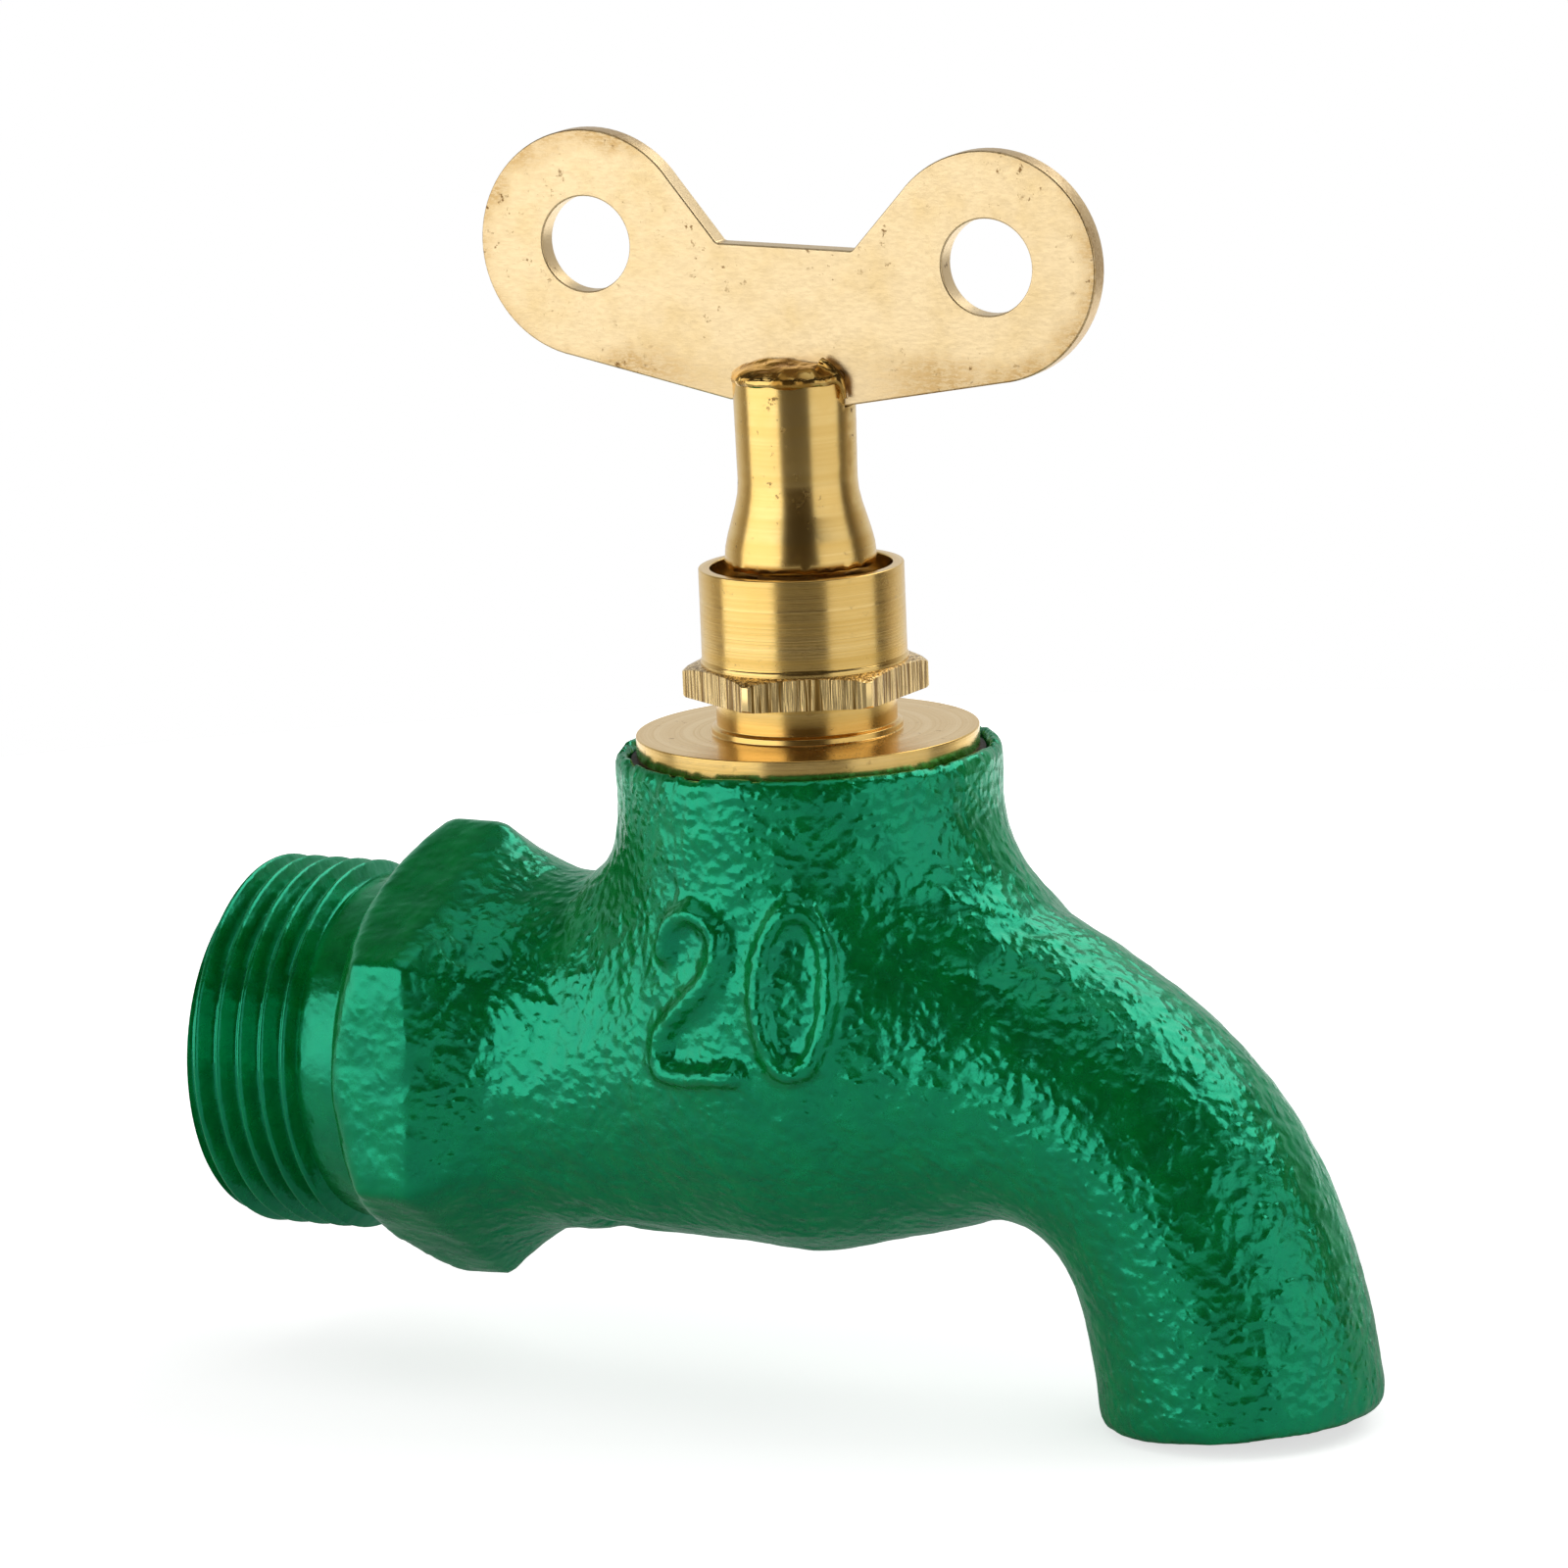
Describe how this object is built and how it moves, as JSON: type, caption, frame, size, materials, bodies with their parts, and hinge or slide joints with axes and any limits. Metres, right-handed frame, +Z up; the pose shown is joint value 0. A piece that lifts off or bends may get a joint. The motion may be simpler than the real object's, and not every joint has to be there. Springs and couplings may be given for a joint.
{
  "type": "garden tap",
  "caption": "Cast bib tap with a male inlet thread, a hexagon collar, a downturned spout and a lockshield brass head worked by a removable winged key.",
  "frame": {"origin": "axis of the inlet thread, at its open end", "axes": "+X from the inlet to the spout, +Z up along the spindle, +Y completes the right-handed frame"},
  "size_m": [0.0874, 0.03, 0.0899],
  "materials": {
    "green_enamel": "thick glossy enamel over a rough casting",
    "turned_brass": "satin, turned",
    "rolled_brass": "satin, tarnished",
    "braze": "glossy, as melted",
    "black_rubber": "matt",
    "graphite_packing": "matt, fibrous",
    "spring_steel": "bright"
  },
  "bodies": {
    "tap": {"tap_body": "green_enamel", "valve_seat": "turned_brass", "bonnet": "turned_brass", "bonnet_gasket": "black_rubber", "packing_washer": "turned_brass", "packing_ring_lower": "graphite_packing", "packing_ring_upper": "graphite_packing", "gland_nut": "turned_brass"},
    "valve": {"jumper": "turned_brass", "jumper_snap_ring": "spring_steel", "valve_washer": "black_rubber", "washer_plate": "turned_brass", "washer_nut": "turned_brass"},
    "spindle_and_key": {"spindle": "turned_brass", "key_tube": "turned_brass", "key_wing": "rolled_brass", "key_braze": "braze"}
  },
  "joints": [
    {"name": "valve_lift", "type": "slide", "parent": "tap", "child": "valve", "axis": [0, 0, 1], "range_m": [0, 0.00562]},
    {"name": "spindle_turn", "type": "hinge", "parent": "valve", "child": "spindle_and_key", "pos_m": [0.0452, 0, 0.03], "axis": [0, 0, 1], "range_deg": [0, 810]}
  ],
  "couplings": [
    {"joint": "spindle_turn", "follows": "valve_lift", "rad_per_m": 2513.3}
  ]
}
